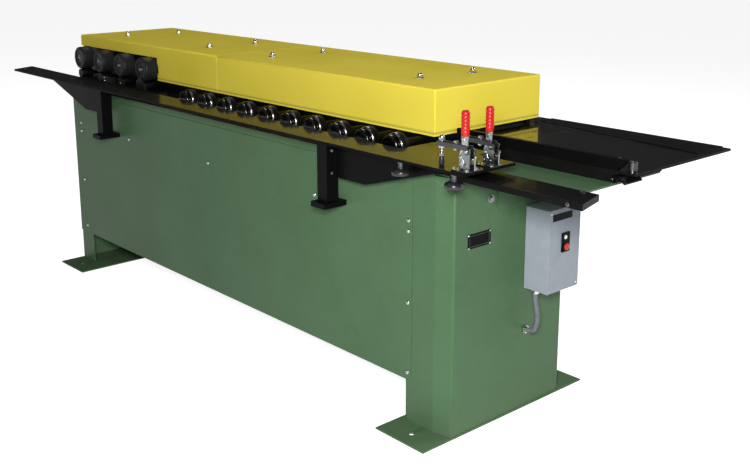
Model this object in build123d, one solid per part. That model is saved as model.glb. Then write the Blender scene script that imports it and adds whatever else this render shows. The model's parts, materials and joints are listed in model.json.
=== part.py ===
from build123d import *
from math import cos, radians, sin, tan
import os

os.makedirs("parts", exist_ok=True)

# Duct roll forming machine: a sheet-steel base on two foot plates, a roll head under
# a two-piece cover, a long table with toggle clamps on the near side, and entry tables.
# All sizes are in millimetres. The working datum is the corner of the base at its entry end:
# X = 0 on the entry end face and grows towards the entry, Y = 0 on the near face and grows
# towards the far side, Z = 0 on the floor. The finished model is moved so that its origin is
# on the floor under the middle of its bounding box.

# Heights that the rest is set out from
table_top = 914.0

# Base
base_length = 2520.0
base_depth = 570.0
base_below_table = 54.0
leg_height = 150.0
housing_sheet = 5.0
entry_leg_width = 195.0
exit_leg_width = 118.0
corner_bevel_x = 70.0
corner_bevel_y = 14.0
bend_radius = 9.0
panel_sheet = 3.0
panel_lap_entry = 26.0
panel_lap_exit = 114.0
panel_flange = 25.0
panel_flange_gap = 2.0
panel_top_gap = 12.0
bed_drop = 18.0
bed_thickness = 12.0
bed_end_gap = 15.0
head_plate_thickness = 12.0
head_plate_margin = 8.0
rail_width = 24.0
wheel_shelf_near_y = 60.0
wheel_shelf_margin = 80.0

# Foot plates
foot_width = 220.0
foot_thickness = 6.0
foot_overhang = 117.0
foot_outset = 4.0
anchor_radius = 9.0
anchor_inset = 58.0

# Cover
cover_sheet = 3.0
cover_near_y = 203.0
cover_far_overhang = 178.5
cover_hem_above_table = 9.0
cover_height = 158.5
cover_entry_x = -275.0
cover_joint_x = -1566.5
cover_exit_x = -2816.0
cover_joint_gap = 1.0
cover_corner = 7.0
notch_entry_x = -2060.0
notch_height = 104.5
stud_pairs_x = ((-501.0, -472.0), (-1374.0, -1337.0), (-1851.0, -1836.0), (-2596.0, -2512.0))
stud_rows_inset = (153.0, 148.5)
stud_radius = 6.0
stud_hole_gap = 0.3
spacer_radius = 9.0
acorn_radius = 11.5
acorn_height = 11.0
tie_margin = 15.0
tie_thickness = 10.0

# Roll head
roll_count = 10
roll_pitch = 140.0
first_roll_x = -330.0
lower_axis_below_table = 10.0
nip_gap = 6.0
shaft_radius = 13.5
shaft_fit = 0.05
bearing_inset = 12.0
bearing_thickness = 24.0
spacer_height = 8.0
nose_y = 45.0
nose_chamfer = 4.0
hub_radius = 34.0
hub_length = 16.0
dome_radius = 44.0
dome_start = 44.0
dome_end = 56.0
sleeve_radius = 16.0
sleeve_end = 140.0
inner_body_radius = 26.0
upper_body_radius = 44.0
body_side_gap = 6.0
shaft_end_gap = 2.0

# Flanging wheels at the exit end
wheel_count = 4
wheel_pitch = 204.0
first_wheel_x = -2079.0
wheel_axis_above_table = 65.0
wheel_radius = 49.0
wheel_width = 64.0
wheel_near_y = 126.0
wheel_rim = 8.0
wheel_recess = 4.0
wheel_hub_radius = 18.0
wheel_shaft_radius = 12.0
flanging_roll_radius = 22.0
flanging_shaft_radius = 10.0
flanging_roll_width = 60.0

# Near table
table_thickness = 9.5
table_near_y = -91.0
strip_far_y = 26.0
table_exit_x = -2983.0
table_tip_skew = 50.0
table_entry_x = 125.0
wide_plate_x = -250.0
wide_plate_far_y = 140.0
wide_plate_step_x = -20.0
wide_plate_step_far_y = 195.0

# Table supports
post_size = 50.0
post_wall = 4.0
post_near_y = -81.0
entry_post_x = -521.0
exit_post_inset = 422.0
post_foot_width = 72.0
post_foot_depth = 99.5
post_foot_drop = 229.0
post_foot_thickness = 18.0
gusset_thickness = 6.0
gusset_y = -40.0
gusset_rise = 3.4
entry_gusset_edge = ((150.0, 117.0), (456.0, 26.5))
exit_gusset_edge = ((185.0, 117.0), (478.0, 27.5))

# Adjusting knobs under the table
knob_radius = 30.0
knob_height = 23.0
knob_stem_radius = 6.0
knob_stem = 19.5
knob_y = -78.0
knob_positions_x = (80.0, -143.0)

# Entry shelf and entry tables
shelf_thickness = 6.0
shelf_entry_x = 365.0
shelf_exit_x = -100.0
shelf_near_y = 12.0
shelf_far_inset = 30.0
bracket_sheet = 5.0
bracket_width = 333.0
bracket_drop = 138.0
bracket_corner = 22.0
bar_exit_x = 5.0
bar_entry_x = 486.0
bar_far_entry_x = 453.0
bar_near_y = -18.0
bar_far_y = 102.0
bar_thickness = 19.0
far_table_below_table = 9.5
far_table_near_inset = 266.0
far_table_overhang = 265.0
far_table_entry_x = 431.0
far_table_sheet = 8.0
far_strip_gap = 3.5
far_strip_exit_x = -400.0
lip_entry_x = 369.0
lip_exit_x = -85.0
guide_bar_width = 16.0
guide_bar_height = 36.5
guide_bar_gap = 5.0
guide_bar_low_x = 366.0
guide_bar_high_x = 406.0
fence_sheet = 3.0
fence_exit_x = -284.0
fence_entry_x = 403.0
fence_exit_inset = 69.0
fence_entry_inset = 152.0
roller_x = 401.0
roller_inset = 30.0
roller_head_radius = 12.5
roller_stem_radius = 5.0
roller_height = 29.5
tab_sheet = 4.0
tab_near_outset = 44.5
tab_far_inset = 44.0
tab_exit_x = 374.0
tab_bend_x = 406.0
tab_entry_x = 427.0
tab_drop = 14.5

# Switch box, conduit and plate
box_depth = 98.0
box_far_inset = 60.0
box_width = 160.0
box_below_table = 199.0
box_height = 280.0
box_corner = 3.0
switch_y = 84.0
switch_z = 131.0
switch_width = 40.0
switch_height = 66.0
switch_frame_depth = 4.0
stop_radius = 12.0
stop_depth = 10.0
conduit_radius = 8.5
conduit_inset = 10.0
gland_nut_radius = 14.5
gland_nut_height = 10.0
box_gland_height = 7.0
gland_sleeve_radius = 11.5
conduit_route = ((43.0, 11.0), (43.0, 37.0), (55.0, 76.0), (52.0, 118.0), (38.0, 148.0), (14.0, 148.0))
plate_near_y = 73.0
plate_width = 106.0
plate_below_table = 242.0
plate_height = 48.0
plate_thickness = 1.5

# Toggle clamps: u runs from the clamp's middle towards its spindle
clamp_x = 98.0
clamp_y_positions = (-52.0, 52.0)
clamp_foot_length = 64.0
clamp_foot_width = 52.0
clamp_foot_thickness = 4.0
cheek_inner = 8.0
cheek_thickness = 3.0
cheek_front = 15.0
cheek_back = 25.0
cheek_window_radius = 8.0
cheek_window_u = -6.0
cheek_window_z = 24.0
cheek_height = 68.0
cheek_shoulder = 44.0
layer_gap = 1.0
arm_thickness = 3.0
arm_pin_u = -16.0
arm_pin_z = 60.0
arm_eye_radius = 9.0
arm_bar_rise = 2.0
arm_bar_height = 12.0
arm_reach = 102.0
spindle_u = 94.0
spindle_radius = 4.0
spindle_above_bar = 14.0
cap_radius = 7.0
cap_height = 13.0
lock_nut_radius = 8.0
lock_nut_height = 6.5
seat_gap = 0.3
handle_pin_u = 9.0
handle_pin_z = 40.0
handle_eye_radius = 8.0
handle_lean = 7.0
handle_width = 12.0
handle_top = 176.0
grip_bottom = 103.0
grip_radius = 13.0
pin_radius = 4.0
pin_fit = 0.05
clamp_handle_range = 57.0
clamp_arm_range = 95.0

table_bottom = table_top - table_thickness
base_top = table_top - base_below_table
bed_top = base_top - bed_drop
shelf_top = base_top + shelf_thickness
lower_axis_z = table_top - lower_axis_below_table
upper_axis_z = lower_axis_z + inner_body_radius + nip_gap + upper_body_radius
wheel_axis_z = table_top + wheel_axis_above_table
wheel_back_y = wheel_near_y + wheel_width
flanging_axis_z = wheel_axis_z - wheel_radius - nip_gap - flanging_roll_radius
head_plate_top = base_top + head_plate_thickness
cover_hem_z = table_top + cover_hem_above_table
cover_top_z = cover_hem_z + cover_height
cover_inner_top = cover_top_z - cover_sheet
notch_top_z = cover_hem_z + notch_height
tie_top = cover_inner_top - spacer_height
bearing_top = tie_top - tie_thickness
cover_far_y = base_depth + cover_far_overhang
near_bearing_y = cover_near_y + bearing_inset
far_bearing_y = cover_far_y - bearing_inset - bearing_thickness
bearing_entry_x = cover_entry_x - bearing_inset
bearing_exit_x = cover_exit_x + bearing_inset
head_mid_y = (near_bearing_y + far_bearing_y + bearing_thickness) / 2
stud_rows_y = (cover_near_y + stud_rows_inset[0], cover_far_y - stud_rows_inset[1])
post_foot_bottom = table_top - post_foot_drop
exit_post_x = exit_post_inset - base_length
shelf_far_y = base_depth - shelf_far_inset
bracket_near_y = shelf_far_y - bracket_width
far_table_top = table_top - far_table_below_table
far_table_near_y = base_depth - far_table_near_inset
far_table_far_y = base_depth + far_table_overhang
far_table_exit_x = cover_entry_x
far_strip_near_y = cover_far_y + far_strip_gap
box_bottom = table_top - box_below_table - box_height
box_near_y = base_depth - box_far_inset - box_width
conduit_y = box_near_y + conduit_inset
plate_bottom = table_top - plate_below_table - plate_height
foot_positions_x = (foot_outset - foot_width, -base_length - foot_outset)
roll_positions_x = [first_roll_x - roll_pitch * i for i in range(roll_count)]
wheel_positions_x = [first_wheel_x - wheel_pitch * i for i in range(wheel_count)]


def block(x0, x1, y0, y1, z0, z1):
    return Pos((x0 + x1) / 2, (y0 + y1) / 2, (z0 + z1) / 2) * Box(x1 - x0, y1 - y0, z1 - z0)


def disc(x, y0, y1, z, radius):
    # A round bar along Y.
    length = y1 - y0
    return Pos(x, (y0 + y1) / 2, z) * Rot(90, 0, 0) * Cylinder(radius, length)


def post_round(x, y, z0, z1, radius):
    return Pos(x, y, (z0 + z1) / 2) * Cylinder(radius, z1 - z0)


def turned(x, z, steps):
    # A turned piece on an axis along Y: steps lists (y, radius) along its outline.
    points = [(steps[0][0], 0.0)] + [(y, r) for y, r in steps] + [(steps[-1][0], 0.0)]
    outline = Polyline(*[(r, y, 0.0) for y, r in points], close=True)
    return Pos(x, 0, z) * revolve(make_face(outline), Axis.Y)


def bent_sheet(points, thickness, radius, height, z):
    # A sheet folded along a plan outline, thickened inwards, standing from z.
    path = FilletPolyline(*points, radius=radius)
    face = make_face(offset(path, thickness, side=Side.LEFT, closed=True))
    return Pos(0, 0, z) * extrude(face, height)


def entry_end_housing():
    points = [
        (-entry_leg_width, 0.0),
        (-corner_bevel_x, 0.0),
        (0.0, corner_bevel_y),
        (0.0, base_depth - corner_bevel_y),
        (-corner_bevel_x, base_depth),
        (-entry_leg_width, base_depth),
    ]
    return bent_sheet(points, housing_sheet, bend_radius, base_top - foot_thickness, foot_thickness)


def exit_end_housing():
    points = [
        (exit_leg_width - base_length, base_depth),
        (-base_length, base_depth),
        (-base_length, 0.0),
        (exit_leg_width - base_length, 0.0),
    ]
    return bent_sheet(points, housing_sheet, bend_radius, base_top - foot_thickness, foot_thickness)


def side_panel(outer_y, inward):
    # A flat sheet lapped over the housings, with a stiffening flange between the legs.
    x0 = exit_leg_width - base_length - panel_lap_exit
    x1 = panel_lap_entry - entry_leg_width
    inner_y = outer_y + inward * panel_sheet
    sheet = block(x0, x1, min(outer_y, inner_y), max(outer_y, inner_y), leg_height, bed_top)
    flange_y = inner_y + inward * panel_flange
    flange = block(
        exit_leg_width - base_length + panel_flange_gap,
        -entry_leg_width - panel_flange_gap,
        min(inner_y, flange_y),
        max(inner_y, flange_y),
        leg_height,
        leg_height + panel_sheet,
    )
    return sheet + flange


def bed_plate():
    # The plate inside the base, two rails on it and the head plate that overhangs the base.
    x0 = bed_end_gap - base_length
    x1 = -corner_bevel_x - bed_end_gap
    bed = block(x0, x1, housing_sheet, base_depth - housing_sheet, bed_top - bed_thickness, bed_top)
    rail_x0 = exit_leg_width - base_length + panel_flange_gap
    for y in (near_bearing_y, base_depth - housing_sheet - rail_width * 2):
        bed += block(rail_x0, bearing_entry_x, y, y + rail_width, bed_top, base_top)
    head = block(
        bearing_exit_x - head_plate_margin,
        bearing_entry_x + head_plate_margin,
        near_bearing_y - head_plate_margin,
        far_bearing_y + bearing_thickness + head_plate_margin,
        base_top,
        head_plate_top,
    )
    # The shelf under the flanging rolls.
    shelf = block(
        wheel_positions_x[-1] - wheel_shelf_margin,
        wheel_positions_x[0] + wheel_shelf_margin,
        wheel_shelf_near_y,
        near_bearing_y,
        base_top,
        head_plate_top,
    )
    return bed + head + shelf


def foot_plate(x0):
    y0 = -foot_overhang
    y1 = base_depth + foot_overhang
    plate = block(x0, x0 + foot_width, y0, y1, 0.0, foot_thickness)
    for y in (y0 + anchor_inset, y1 - anchor_inset):
        plate -= post_round(x0 + foot_width / 2, y, -1.0, foot_thickness + 1.0, anchor_radius)
    return plate


def bearing_plate(y0, with_wheels):
    plate = block(bearing_exit_x, bearing_entry_x, y0, y0 + bearing_thickness, head_plate_top, bearing_top)
    bores = [(x, z, shaft_radius) for x in roll_positions_x for z in (lower_axis_z, upper_axis_z)]
    if with_wheels:
        bores += [(x, wheel_axis_z, wheel_shaft_radius) for x in wheel_positions_x]
        bores += [(x, flanging_axis_z, flanging_shaft_radius) for x in wheel_positions_x]
    for x, z, radius in bores:
        plate -= disc(x, y0 - 1.0, y0 + bearing_thickness + 1.0, z, radius + shaft_fit)
    return plate


def lower_roll(x):
    # The outer roll before the cover, its shaft under the hem and the plain roll between the plates.
    inner_start = near_bearing_y + bearing_thickness + body_side_gap
    inner_end = far_bearing_y - body_side_gap
    steps = [
        (nose_y, hub_radius - nose_chamfer),
        (nose_y + nose_chamfer, hub_radius),
        (nose_y + hub_length, hub_radius),
        (nose_y + (hub_length + dome_start) / 2, (hub_radius + dome_radius * 2) / 3),
        (nose_y + dome_start, dome_radius),
        (nose_y + dome_end, dome_radius),
        (nose_y + dome_end, sleeve_radius),
        (nose_y + sleeve_end, sleeve_radius),
        (nose_y + sleeve_end, shaft_radius),
        (inner_start, shaft_radius),
        (inner_start, inner_body_radius),
        (inner_end, inner_body_radius),
        (inner_end, shaft_radius),
        (far_bearing_y + bearing_thickness - shaft_end_gap, shaft_radius),
    ]
    return turned(x, lower_axis_z, steps)


def upper_roll(x):
    inner_start = near_bearing_y + bearing_thickness + body_side_gap
    inner_end = far_bearing_y - body_side_gap
    steps = [
        (near_bearing_y + shaft_end_gap, shaft_radius),
        (inner_start, shaft_radius),
        (inner_start, upper_body_radius),
        (inner_end, upper_body_radius),
        (inner_end, shaft_radius),
        (far_bearing_y + bearing_thickness - shaft_end_gap, shaft_radius),
    ]
    return turned(x, upper_axis_z, steps)


def flanging_wheel(x):
    steps = [
        (wheel_near_y + wheel_recess, wheel_hub_radius),
        (wheel_near_y + wheel_recess, wheel_radius - wheel_rim),
        (wheel_near_y, wheel_radius - wheel_rim),
        (wheel_near_y, wheel_radius),
        (wheel_back_y, wheel_radius),
        (wheel_back_y, wheel_shaft_radius),
        (near_bearing_y + bearing_thickness + wheel_recess, wheel_shaft_radius),
    ]
    return turned(x, wheel_axis_z, steps)


def flanging_roll(x):
    steps = [
        (wheel_back_y - flanging_roll_width, flanging_roll_radius),
        (wheel_back_y, flanging_roll_radius),
        (wheel_back_y, flanging_shaft_radius),
        (near_bearing_y + bearing_thickness + wheel_recess, flanging_shaft_radius),
    ]
    return turned(x, flanging_axis_z, steps)


def cover_shell(x0, x1, open_side):
    # A sheet-metal box, open below and at the joint between the two sections.
    outer = block(x0, x1, cover_near_y, cover_far_y, cover_hem_z, cover_top_z)
    rounded = outer.edges().filter_by(Axis.X).group_by(Axis.Z)[-1]
    end_x = x0 if open_side > 0 else x1
    ends = [e for e in outer.edges().filter_by(Axis.Z) if abs(e.center().X - end_x) < 1.0]
    ends += [e for e in outer.edges().filter_by(Axis.Y).group_by(Axis.Z)[-1] if abs(e.center().X - end_x) < 1.0]
    outer = fillet(list(rounded) + ends, cover_corner)
    inner_x0 = x0 + cover_sheet if open_side > 0 else x0 - 1.0
    inner_x1 = x1 + 1.0 if open_side > 0 else x1 - cover_sheet
    inner = block(
        inner_x0,
        inner_x1,
        cover_near_y + cover_sheet,
        cover_far_y - cover_sheet,
        cover_hem_z - 1.0,
        cover_inner_top,
    )
    return outer - inner


def drill_cover(shell, x0, x1):
    for pair in stud_pairs_x:
        for x, y in zip(pair, stud_rows_y):
            if x0 < x < x1:
                shell -= post_round(x, y, cover_inner_top - 1.0, cover_top_z + 1.0, stud_radius + stud_hole_gap)
    return shell


def cover_studs(pair):
    # A tie bar across the bearing plates with its spacers, studs and domed nuts.
    piece = block(
        min(pair) - tie_margin,
        max(pair) + tie_margin,
        near_bearing_y,
        far_bearing_y + bearing_thickness,
        bearing_top,
        tie_top,
    )
    for x, y in zip(pair, stud_rows_y):
        piece += post_round(x, y, tie_top, cover_inner_top, spacer_radius)
        piece += post_round(x, y, cover_inner_top, cover_top_z, stud_radius)
        piece += post_round(x, y, cover_top_z, cover_top_z + acorn_height, acorn_radius)
        piece += Pos(x, y, cover_top_z + acorn_height) * Sphere(acorn_radius * 0.8)
    return piece


def entry_cover():
    shell = cover_shell(cover_joint_x, cover_entry_x, -1)
    return drill_cover(shell, cover_joint_x, cover_entry_x)


def exit_cover():
    shell = cover_shell(cover_exit_x, cover_joint_x - cover_joint_gap, 1)
    window = block(
        cover_exit_x - 1.0,
        notch_entry_x,
        cover_near_y - 1.0,
        near_bearing_y - layer_gap,
        cover_hem_z - 1.0,
        notch_top_z,
    )
    return drill_cover(shell - window, cover_exit_x, cover_joint_x)


def near_table():
    outline = Polyline(
        (table_exit_x, table_near_y),
        (table_entry_x, table_near_y),
        (table_entry_x, wide_plate_far_y),
        (wide_plate_step_x, wide_plate_far_y),
        (wide_plate_step_x, wide_plate_step_far_y),
        (wide_plate_x, wide_plate_step_far_y),
        (wide_plate_x, strip_far_y),
        (table_exit_x - table_tip_skew, strip_far_y),
        close=True,
    )
    return Pos(0, 0, table_bottom) * extrude(make_face(outline), table_thickness)


def table_support(x, gusset_side, low_edge):
    foot_top = post_foot_bottom + post_foot_thickness
    half = post_size / 2
    tube = block(x - half, x + half, post_near_y, post_near_y + post_size, foot_top, table_bottom)
    tube -= block(
        x - half + post_wall,
        x + half - post_wall,
        post_near_y + post_wall,
        post_near_y + post_size - post_wall,
        foot_top,
        table_bottom + 1.0,
    )
    foot = block(
        x - post_foot_width / 2,
        x + post_foot_width / 2,
        -panel_sheet - post_foot_depth,
        -panel_sheet,
        post_foot_bottom,
        foot_top,
    )
    face_x = x + gusset_side * half
    points = [(face_x, 0.0, table_bottom), (face_x, 0.0, table_bottom - low_edge[0][1])]
    points += [(face_x + gusset_side * run, 0.0, table_bottom - drop) for run, drop in low_edge]
    points += [(points[-1][0] + gusset_side * (points[-1][2] - table_bottom) * -gusset_rise, 0.0, table_bottom)]
    outline = Polyline(*points, close=True)
    gusset = extrude(make_face(outline), gusset_thickness / 2, dir=(0, 1, 0), both=True)
    return tube + foot + Pos(0, gusset_y, 0) * gusset


def adjusting_knob(x):
    body_top = table_bottom - knob_stem
    body = post_round(x, knob_y, body_top - knob_height, body_top, knob_radius)
    body = fillet(body.edges().filter_by(GeomType.CIRCLE), knob_height / 5)
    return body + post_round(x, knob_y, body_top, table_bottom, knob_stem_radius)


def entry_shelf():
    plate = block(shelf_exit_x, shelf_entry_x, shelf_near_y, shelf_far_y, base_top, shelf_top)
    bracket = block(
        0.0,
        bracket_sheet,
        bracket_near_y,
        shelf_far_y,
        base_top - bracket_drop,
        base_top,
    )
    lower = bracket.edges().filter_by(Axis.X).group_by(Axis.Z)[0]
    bracket = fillet(lower, bracket_corner)
    return plate + bracket


def near_entry_bar():
    outline = Polyline(
        (bar_exit_x, bar_near_y),
        (bar_entry_x, bar_near_y),
        (bar_far_entry_x, bar_far_y),
        (bar_exit_x, bar_far_y),
        close=True,
    )
    return Pos(0, 0, shelf_top) * extrude(make_face(outline), bar_thickness)


def far_entry_table():
    # An L-shaped plate on two upright lips that stand on the shelf.
    under = far_table_top - far_table_sheet
    outline = Polyline(
        (far_strip_exit_x, far_strip_near_y),
        (far_table_exit_x, far_strip_near_y),
        (far_table_exit_x, far_table_near_y),
        (far_table_entry_x, far_table_near_y),
        (far_table_entry_x, far_table_far_y),
        (far_strip_exit_x, far_table_far_y),
        close=True,
    )
    deck = Pos(0, 0, under) * extrude(make_face(outline), far_table_sheet)
    near_lip_y = far_table_near_y + far_table_sheet
    deck += block(far_table_exit_x, lip_entry_x, far_table_near_y, near_lip_y, shelf_top, under)
    far_lip_y = shelf_far_y - far_table_sheet
    return deck + block(lip_exit_x, lip_entry_x, far_lip_y, shelf_far_y, shelf_top, under)


def side_profile(points, y0, y1):
    # A profile drawn along X and up, thickened along Y.
    outline = Polyline(*[(x, 0.0, z) for x, z in points], close=True)
    return Pos(0, y0, 0) * extrude(make_face(outline), y1 - y0, dir=(0, 1, 0))


def far_guide_bar():
    x0 = far_table_exit_x + guide_bar_gap
    z1 = far_table_top + guide_bar_height
    points = [(x0, far_table_top), (guide_bar_low_x, far_table_top), (guide_bar_high_x, z1), (x0, z1)]
    return side_profile(points, far_table_near_y, far_table_near_y + guide_bar_width)


def far_fence():
    # A thin raised plate whose near edge runs at a slight angle.
    outline = Polyline(
        (fence_exit_x, far_table_far_y - fence_exit_inset),
        (fence_entry_x, far_table_far_y - fence_entry_inset),
        (fence_entry_x, far_table_far_y),
        (fence_exit_x, far_table_far_y),
        close=True,
    )
    return Pos(0, 0, far_table_top) * extrude(make_face(outline), fence_sheet)


def guide_roller():
    y = far_table_near_y + roller_inset
    head_z = far_table_top + roller_height * 0.35
    top = far_table_top + roller_height
    return post_round(roller_x, y, far_table_top, top, roller_stem_radius) + post_round(
        roller_x, y, head_z, top, roller_head_radius
    )


def lead_in_tab():
    # A plate under the far table that slopes down at its free end.
    top = far_table_top - far_table_sheet
    points = [
        (tab_exit_x, top),
        (tab_bend_x, top),
        (tab_entry_x, top - tab_drop),
        (tab_entry_x - tab_sheet / 2, top - tab_drop - tab_sheet),
        (tab_bend_x - tab_sheet / 2, top - tab_sheet),
        (tab_exit_x, top - tab_sheet),
    ]
    return side_profile(points, far_table_near_y - tab_near_outset, far_table_near_y + tab_far_inset)


def switch_box():
    body = block(0.0, box_depth, box_near_y, box_near_y + box_width, box_bottom, box_bottom + box_height)
    return fillet(body.edges().filter_by(Axis.Z), box_corner)


def switch_buttons():
    mid_y = box_near_y + switch_y
    low = box_bottom + switch_z
    face_x = box_depth + switch_frame_depth
    half = switch_width / 2
    frame = block(box_depth, face_x, mid_y - half, mid_y + half, low, low + switch_height)
    stop_z = low + switch_height / 4
    stop = Pos(face_x + stop_depth / 2, mid_y, stop_z) * Rot(0, 90, 0) * Cylinder(stop_radius, stop_depth)
    start_low = low + switch_height * 0.55
    start_half = switch_width / 4
    start = block(
        face_x,
        face_x + switch_frame_depth,
        mid_y - start_half,
        mid_y + start_half,
        start_low,
        start_low + start_half * 2,
    )
    return frame + stop + start


def conduit():
    # A plain tube along the same straight runs and bends as the real hose.
    points = [(x, conduit_y, box_bottom - drop) for x, drop in conduit_route]
    radii = []
    for before, corner, after in zip(points, points[1:], points[2:]):
        run_in = Vector(*corner) - Vector(*before)
        run_out = Vector(*after) - Vector(*corner)
        half_turn = radians(run_in.get_angle(run_out)) / 2
        radii.append(round(0.45 * min(run_in.length, run_out.length) / tan(half_turn), 2))
    path = FilletPolyline(*points, radius=radii)
    start = Plane(origin=path @ 0, z_dir=path % 0)
    tube = sweep(start * Circle(conduit_radius), path=path)
    section = 3.14159265 * conduit_radius**2
    print("conduit length", round(path.length, 1), "volume ratio", round(tube.volume / (section * path.length), 4))
    print("conduit radii", radii)
    return tube


def conduit_fitting():
    # The threaded collar in the end face, with its nut and sleeve.
    x_end = conduit_route[-1][0]
    z = box_bottom - conduit_route[-1][1]
    hexagon = RegularPolygon(gland_nut_radius, 6)
    nut = Pos(0, conduit_y, z) * Rot(0, 90, 0) * extrude(hexagon, gland_nut_height)
    sleeve_x = (gland_nut_height + x_end) / 2
    sleeve = Cylinder(gland_sleeve_radius, x_end - gland_nut_height)
    return nut + Pos(sleeve_x, conduit_y, z) * Rot(0, 90, 0) * sleeve


def box_gland():
    x = conduit_route[0][0]
    z_end = box_bottom - conduit_route[0][1]
    nut_low = box_bottom - box_gland_height
    nut = Pos(x, conduit_y, nut_low) * extrude(RegularPolygon(gland_nut_radius, 6), box_gland_height)
    return nut + post_round(x, conduit_y, z_end, nut_low, gland_sleeve_radius)


def name_plate():
    return block(0.0, plate_thickness, plate_near_y, plate_near_y + plate_width, plate_bottom, plate_bottom + plate_height)


def clamp_point(u, z):
    # Clamp places: u is measured from the clamp's middle towards its spindle.
    return clamp_x - u, table_top + z


def clamp_slab(points, y0, y1):
    outline = Polyline(*[(clamp_x - u, 0.0, table_top + z) for u, z in points], close=True)
    slab = extrude(make_face(outline), y1 - y0, dir=(0, 1, 0))
    return Pos(0, y0, 0) * slab


def clamp_disc(u, z, y0, y1, radius):
    x, height = clamp_point(u, z)
    return disc(x, y0, y1, height, radius)


def clamp_base(y):
    body = block(
        clamp_x - clamp_foot_length / 2,
        clamp_x + clamp_foot_length / 2,
        y - clamp_foot_width / 2,
        y + clamp_foot_width / 2,
        table_top,
        table_top + clamp_foot_thickness,
    )
    outline = [
        (-cheek_back, clamp_foot_thickness),
        (cheek_front, clamp_foot_thickness),
        (cheek_front, cheek_shoulder),
        (arm_pin_u + arm_eye_radius, cheek_height),
        (arm_pin_u - arm_eye_radius, cheek_height),
    ]
    pin_end = cheek_inner + cheek_thickness + layer_gap + arm_thickness + layer_gap
    for side in (-1, 1):
        inner = y + side * cheek_inner
        outer = inner + side * cheek_thickness
        cheek = clamp_slab(outline, min(inner, outer), max(inner, outer))
        cheek -= clamp_disc(cheek_window_u, cheek_window_z, y - cheek_height, y + cheek_height, cheek_window_radius)
        body += cheek
        tip = y + side * pin_end
        body += clamp_disc(arm_pin_u, arm_pin_z, min(inner, tip), max(inner, tip), pin_radius)
    pin_end = cheek_inner + layer_gap
    return body + clamp_disc(handle_pin_u, handle_pin_z, y - pin_end, y + pin_end, pin_radius)


def clamp_arm(y):
    inner = cheek_inner + cheek_thickness + layer_gap
    low = arm_pin_z + arm_bar_rise
    top = low + arm_bar_height
    bar = [(arm_pin_u, low), (arm_reach, low), (arm_reach, top), (arm_pin_u, top)]
    eye = arm_eye_radius + layer_gap
    arm = None
    for side in (-1, 1):
        y0 = y + side * inner if side > 0 else y - inner - arm_thickness
        y1 = y0 + arm_thickness
        plate = clamp_slab(bar, y0, y1) + clamp_disc(arm_pin_u, arm_pin_z, y0, y1, eye)
        plate -= clamp_disc(arm_pin_u, arm_pin_z, y0 - 1.0, y1 + 1.0, pin_radius + pin_fit)
        arm = plate if arm is None else arm + plate
    nut_u = spindle_u - lock_nut_radius
    arm += clamp_slab([(nut_u, low), (arm_reach, low), (arm_reach, top), (nut_u, top)], y - inner, y + inner)
    x = clamp_x - spindle_u
    floor_z = table_top + seat_gap
    bar_low = table_top + low
    bar_top = table_top + top
    arm += post_round(x, y, floor_z + cap_height, bar_top + spindle_above_bar, spindle_radius)
    arm += post_round(x, y, floor_z, floor_z + cap_height, cap_radius)
    arm += post_round(x, y, bar_low - lock_nut_height, bar_low, lock_nut_radius)
    return arm + post_round(x, y, bar_top, bar_top + lock_nut_height, lock_nut_radius)


def clamp_handle(y):
    outer = cheek_inner - layer_gap
    half = handle_width / 2
    grip_u = handle_pin_u - handle_lean
    grip_mid = (grip_bottom + handle_top) / 2
    lever = [
        (handle_pin_u - half, handle_pin_z),
        (handle_pin_u + half, handle_pin_z),
        (grip_u + half, grip_bottom),
        (grip_u + half, grip_mid),
        (grip_u - half, grip_mid),
        (grip_u - half, grip_bottom),
    ]
    handle = clamp_slab(lever, y - outer, y + outer)
    handle += clamp_disc(handle_pin_u, handle_pin_z, y - outer, y + outer, handle_eye_radius)
    hole = pin_radius + pin_fit
    handle -= clamp_disc(handle_pin_u, handle_pin_z, y - outer - 1.0, y + outer + 1.0, hole)
    grip = post_round(clamp_x - grip_u, y, table_top + grip_bottom, table_top + handle_top, grip_radius)
    grip = fillet(grip.edges().filter_by(GeomType.CIRCLE), grip_radius * 0.45)
    return handle + grip


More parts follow.
